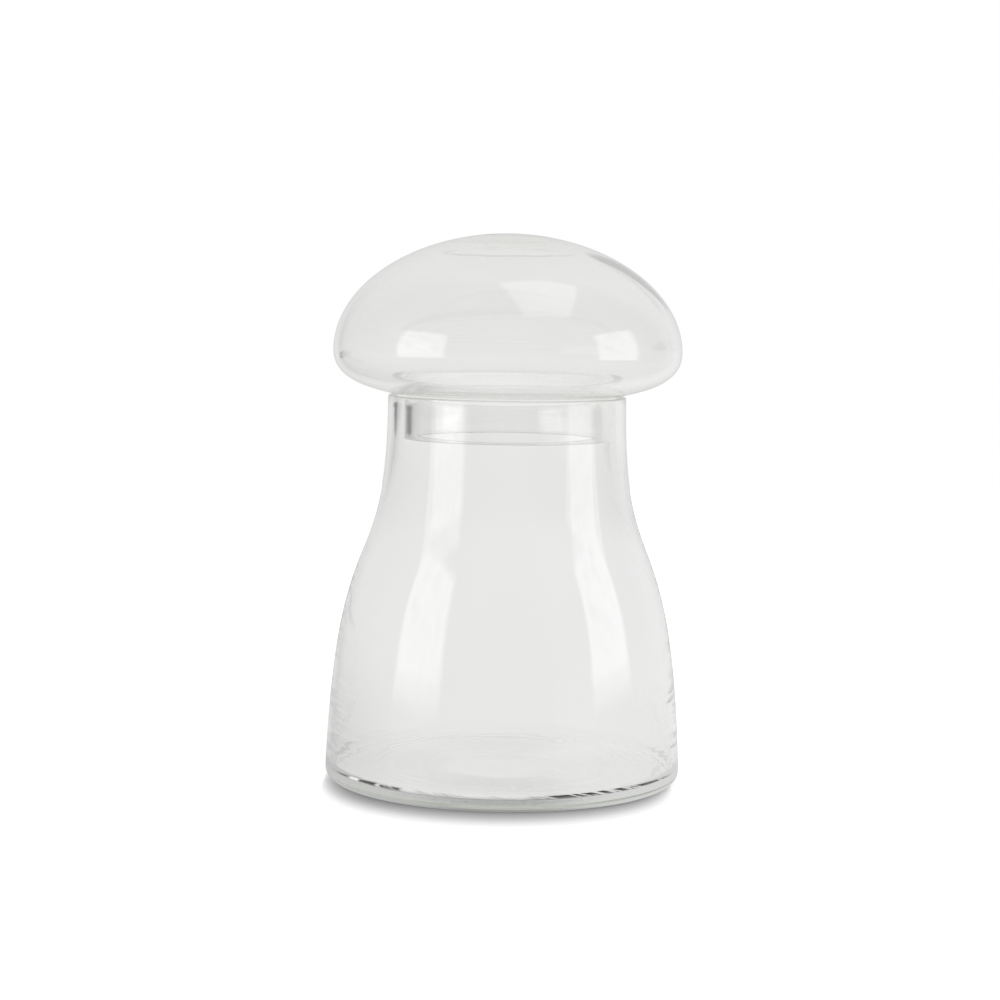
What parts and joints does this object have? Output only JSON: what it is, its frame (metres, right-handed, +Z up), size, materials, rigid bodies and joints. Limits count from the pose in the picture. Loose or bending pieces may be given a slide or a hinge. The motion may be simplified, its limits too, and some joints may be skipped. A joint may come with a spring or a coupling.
{
  "type": "glass terrarium",
  "caption": "Clear blown-glass terrarium: a bellied jar with a straight neck, and a hollow mushroom-cap lid whose collar drops into the neck.",
  "frame": {"origin": "centre of the jar's foot, on the plane it stands on", "axes": "+Z up along the axis both pieces are turned about; +Y away from the viewer"},
  "size_m": [0.1564, 0.1564, 0.2392],
  "materials": {
    "clear_glass": "clear, fire-polished, very slightly grey-green"
  },
  "bodies": {
    "jar": {"jar": "clear_glass"},
    "lid": {"lid": "clear_glass"}
  },
  "joints": [
    {"name": "lid_lift", "type": "slide", "parent": "jar", "child": "lid", "axis": [0, 0, 1], "range_m": [0, 0.1]}
  ]
}
